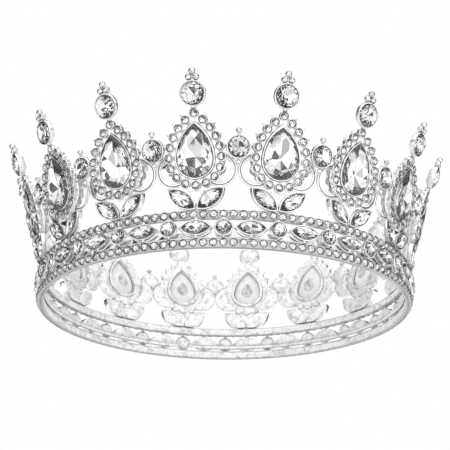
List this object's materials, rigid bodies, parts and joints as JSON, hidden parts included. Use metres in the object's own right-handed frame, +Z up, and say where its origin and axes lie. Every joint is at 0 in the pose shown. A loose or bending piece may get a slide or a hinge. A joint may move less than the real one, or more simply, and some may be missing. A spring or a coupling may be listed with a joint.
{
  "type": "crown",
  "caption": "Full-round openwork crown: a jewelled double-rail band under leaning points, each with a haloed pear stone, a round crest stone and a bead finial.",
  "frame": {"origin": "centre of the flat rim the crown stands on", "axes": "+Z up along the ring's axis, -Y towards the front, +X to the right as seen from above with the front nearest"},
  "size_m": [0.1812, 0.1812, 0.0632],
  "materials": {
    "silver_plate": "bright silver-coloured plating over a cast alloy",
    "crystal": "clear cut glass with a foiled back"
  },
  "bodies": {
    "root": {"lower_rail": "silver_plate", "upper_rail": "silver_plate", "inner_strip_left": "silver_plate", "inner_strip_right": "silver_plate", "band_round_cups": "silver_plate", "band_leaf_cups": "silver_plate", "band_links": "silver_plate", "band_posts": "silver_plate", "base_leaf_cups_left": "silver_plate", "base_leaf_cups_right": "silver_plate", "heart_webs": "silver_plate", "petals_left": "silver_plate", "petals_right": "silver_plate", "pear_cups": "silver_plate", "halo_frames": "silver_plate", "halo_picots": "silver_plate", "halo_links": "silver_plate", "crest_cups": "silver_plate", "crest_necks": "silver_plate", "crest_finials": "silver_plate", "spacer_cups": "silver_plate", "spacer_beads": "silver_plate", "spacer_links": "silver_plate", "lower_rail_stones": "crystal", "upper_rail_stones": "crystal", "band_round_stones": "crystal", "band_leaf_stones": "crystal", "base_leaf_stones_left": "crystal", "base_leaf_stones_right": "crystal", "pear_stones": "crystal", "halo_stones": "crystal", "apex_stones": "crystal", "crest_stones": "crystal", "spacer_stones": "crystal"}
  },
  "joints": []
}
